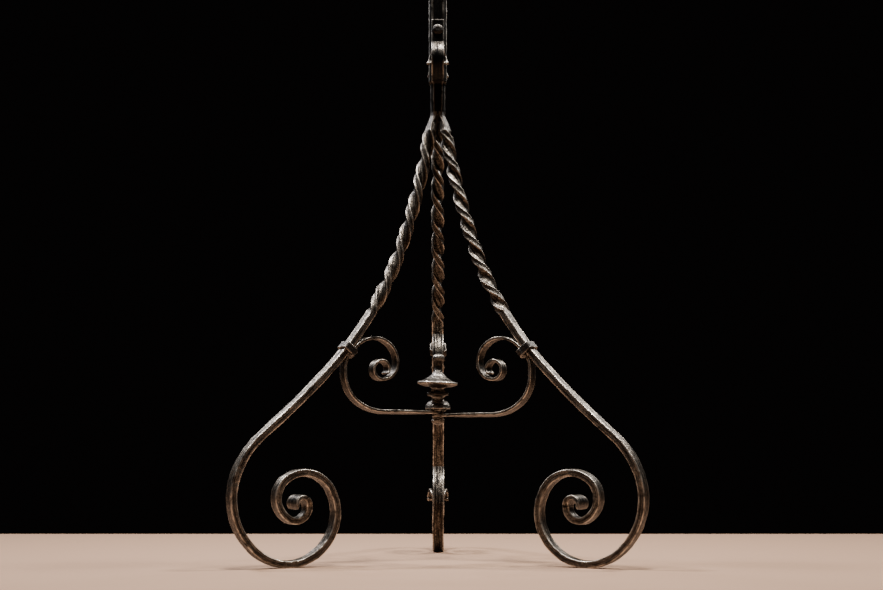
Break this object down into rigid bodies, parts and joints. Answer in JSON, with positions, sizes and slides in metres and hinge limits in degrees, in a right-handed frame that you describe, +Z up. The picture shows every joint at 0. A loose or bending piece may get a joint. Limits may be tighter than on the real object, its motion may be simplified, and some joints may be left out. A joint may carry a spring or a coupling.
{
  "type": "wrought iron tripod stand",
  "caption": "Wrought iron floor stand: twisted legs ending in scroll feet, tied by C-scroll straps to a turned hub, with an upright stem and round spigot on top.",
  "frame": {"origin": "middle of the footprint (bounding box) on the floor; the stem axis stands at x = 0, y = -56.7 mm", "axes": "+Z up along the stem and out of its spigot, +Y towards the single back leg, +X to the right seen from the two-leg side"},
  "size_m": [0.4168, 0.3612, 0.6398],
  "materials": {
    "leg_iron": "forged, blackened and waxed, worn edges",
    "strap_iron": "forged, blackened and waxed",
    "collar_iron": "forged, blackened and waxed",
    "stem_iron": "forged, blackened and waxed, worn edges",
    "turned_iron": "turned, darkened and waxed"
  },
  "bodies": {
    "root": {"leg_front_left": "leg_iron", "leg_front_right": "leg_iron", "leg_back": "leg_iron", "brace_front_left": "strap_iron", "brace_front_right": "strap_iron", "brace_back": "strap_iron", "collar_front_left": "collar_iron", "collar_front_right": "collar_iron", "collar_back": "collar_iron", "stem": "stem_iron", "scroll_front": "stem_iron", "scroll_back": "stem_iron", "scroll_rivet": "collar_iron", "finial_vase": "turned_iron", "finial_spool": "turned_iron", "finial_bun": "turned_iron", "hub_washer": "turned_iron", "hub_bolt": "turned_iron"}
  },
  "joints": []
}
